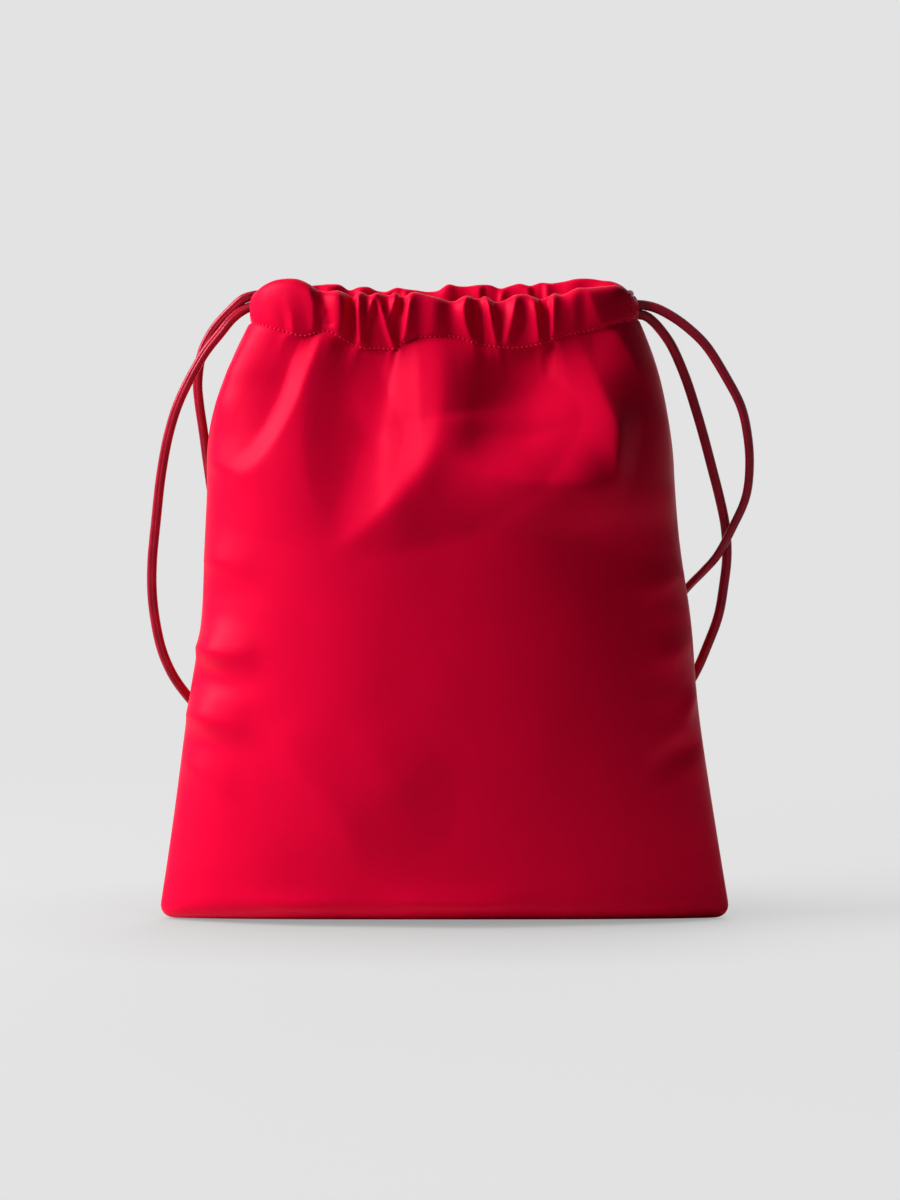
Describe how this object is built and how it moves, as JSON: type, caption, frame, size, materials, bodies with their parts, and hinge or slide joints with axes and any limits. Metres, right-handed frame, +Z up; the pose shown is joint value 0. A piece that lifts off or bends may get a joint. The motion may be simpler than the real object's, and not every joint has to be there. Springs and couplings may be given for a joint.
{
  "type": "pouch",
  "caption": "Red satin nylon drawstring pouch, softly filled and standing, with a gathered hem and thin leather drawstring loops at both sides.",
  "frame": {"origin": "middle of the flattened bottom, at the height of the surface that the pouch stands on", "axes": "+Z up, -Y out of the front panel, +X to the right as seen from the front"},
  "size_m": [0.3004, 0.096, 0.3159],
  "materials": {
    "satin_nylon": "satin",
    "leather_cord": "satin"
  },
  "bodies": {
    "root": {"front_panel": "satin_nylon", "back_panel": "satin_nylon", "left_drawstring": "leather_cord", "right_drawstring": "leather_cord", "left_knot": "leather_cord", "right_knot": "leather_cord"}
  },
  "joints": []
}
